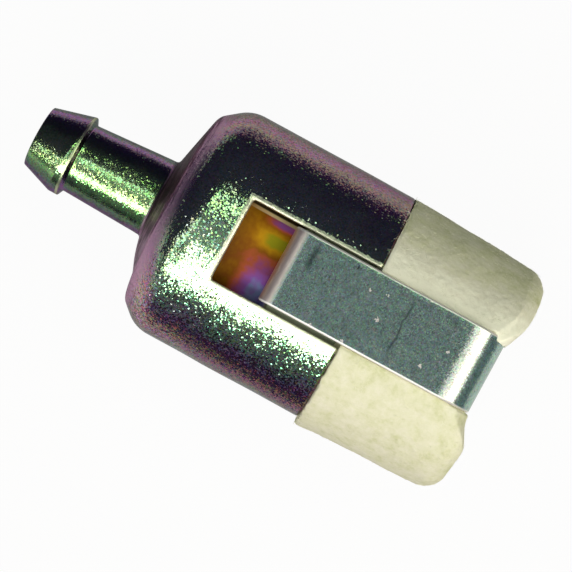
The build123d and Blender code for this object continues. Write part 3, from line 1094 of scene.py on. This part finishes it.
def card_stock(name, painted_light):
    """White card: a matt sheet that keeps the filter's shadow, lifted towards white where the camera sees it.

    Its glow is mixed in for camera and transmission rays, and less of it for glossy rays, so metal shows it
    too. Around the filter a falloff of light is painted: all but the camera see the card fade out to the
    tent's dark glow away from it.
    """
    material, add = studio_material(name)
    ray = add("LightPath").outputs
    seen = add("Math", {0: ray["Is Camera Ray"], 1: ray["Is Transmission Ray"]}, operation="MAXIMUM")
    seen = add("Math", {0: seen, 1: glow_seen}, operation="MULTIPLY")
    card = add("BsdfDiffuse", {"Color": "#cfcfcd"})
    glow = add("Emission", {"Color": "#ffffff", "Strength": 1.0})
    reflected = add("Math", {0: ray["Is Glossy Ray"], 1: glow_reflected}, operation="MULTIPLY")
    lit = add("MixShader", {0: reflected, 1: card, 2: glow})
    if painted_light:
        # Painted light: for all but the camera the card darkens to the tent's glow away from the filter.
        x, y, _ = add("SeparateXYZ", {"Vector": add("TexCoord").outputs["Object"]}).outputs
        slanted = add("Math", {0: x, 1: 0.0}, operation="MINIMUM")
        slanted = add("Math", {0: slanted, 1: -1.25, 2: y}, operation="MULTIPLY_ADD")
        near_side = add("MapRange", {0: slanted, 1: -30 * MM, 2: -14 * MM}, interpolation_type="SMOOTHSTEP")
        far_side = add("MapRange", {0: y, 1: 58 * MM, 2: 20 * MM}, interpolation_type="SMOOTHSTEP")
        pool = add("Math", {0: near_side, 1: far_side}, operation="MULTIPLY")
        pool = add("Math", {0: pool, 1: ray["Is Camera Ray"]}, operation="MAXIMUM")
        dark = add("Emission", {"Color": tent_colour, "Strength": tent_glow})
        lit = add("MixShader", {0: pool, 1: dark, 2: lit})
    mixed = add("MixShader", {0: seen, 1: lit, 2: glow})
    add("OutputMaterial", {"Surface": mixed})
    return material


card = flat_sheet("card", (-80 * MM, -110 * MM), (70 * MM, 60 * MM), 0)
card.data.materials.append(card_stock("white_card", painted_light=True))
floor = flat_sheet("floor", (-2000 * MM, -2000 * MM), (2000 * MM, 2000 * MM), -0.05 * MM)
floor.data.materials.append(card_stock("white_floor", painted_light=False))
floor.visible_glossy = False
floor.visible_diffuse = False

tent_data = bpy.data.meshes.new("dark_tent")
tent_work = bmesh.new()
bmesh.ops.create_icosphere(tent_work, subdivisions=4, radius=tent_radius)
tent_work.to_mesh(tent_data)
tent_work.free()
tent = new_object("dark_tent", tent_data)
tent.visible_camera = False
tent.visible_shadow = False
tent_material, add_to_tent = studio_material("black_cloth")
cloth = add_to_tent("Emission", {"Color": tent_colour, "Strength": tent_glow})
add_to_tent("OutputMaterial", {"Surface": cloth})
tent_data.materials.append(tent_material)

world = bpy.data.worlds.new("white_room")
bpy.context.scene.world = world
world.use_nodes = True
world_tree = world.node_tree
set_inputs(world_tree, world_tree.nodes["Background"], {"Color": "#ffffff", "Strength": 1.0})


def soft_box(name, toward, along, half_length, half_width, radiance, colour, shape="RECTANGLE"):
    """A soft box that faces the filter.

    Its place is on a map of the sky: how many degrees from straight up it stands, toward +X and toward +Y.
    Its sizes are half angles as seen from the filter, and its length lies along a direction of that map,
    counted from +X toward +Y. A lamp of area A and power P shows a radiance of P / (4 A), where an ellipse
    fills pi / 4 of its box.
    """
    lean = radians(hypot(*toward))
    bearing = atan2(toward[1], toward[0])
    data = bpy.data.lights.new(name, "AREA")
    data.shape = shape
    data.size = 2 * soft_box_distance * tan(radians(half_length))
    data.size_y = 2 * soft_box_distance * tan(radians(half_width))
    area = data.size * data.size_y * (pi / 4 if shape == "ELLIPSE" else 1)
    data.energy = 4 * area * radiance
    data.color = linear(colour)[:3]
    away = Vector((sin(lean) * cos(bearing), sin(lean) * sin(bearing), cos(lean)))
    spin = Quaternion((0, 0, 1), radians(along) - bearing - pi / 2)
    box = new_object(name, data)
    box.location = Vector((0, 0, AXIS_Z)) + away * soft_box_distance
    box.rotation_euler = (away.to_track_quat("Z", "Y") @ spin).to_euler()
    box.visible_camera = False


soft_box("main_soft_box", (9.7, -38.7), 0, 15.8, 19.3, 2.9, "#fffdf6")
soft_box("main_wing", (-18, -50), 0, 24, 8.6, 2.9, "#fffdf6", "ELLIPSE")
soft_box("low_soft_box", (-4, -85), 0, 34, 21, 0.09, "#f6f8ff")
soft_box("felt_end_soft_box", (40, 0), 90, 18, 23, 1.1, "#fff8ee")
soft_box("felt_end_spot", (50.3, 0), 90, 16, 13.5, 1.8, "#ffecd6")
soft_box("end_fill_soft_box", (84, 0), 90, 24, 24, 0.15, "#e0fff0")
soft_box("edge_strip", (-27.5, -15.7), 44.6, 23.2, 4, 1.75, "#fbfff8")
soft_box("far_side_soft_box", (18, 24.2), 0, 22, 9.6, 1.85, "#e4ffda")
soft_box("overhead_soft_box", (-5, -9), 0, 16, 16, 0.16, "#f4fff8")
soft_box("nipple_end_soft_box", (-68.6, -53.6), -52, 28, 8, 0.5, "#fff6f8")

bpy.context.scene.view_settings.view_transform = "Standard"
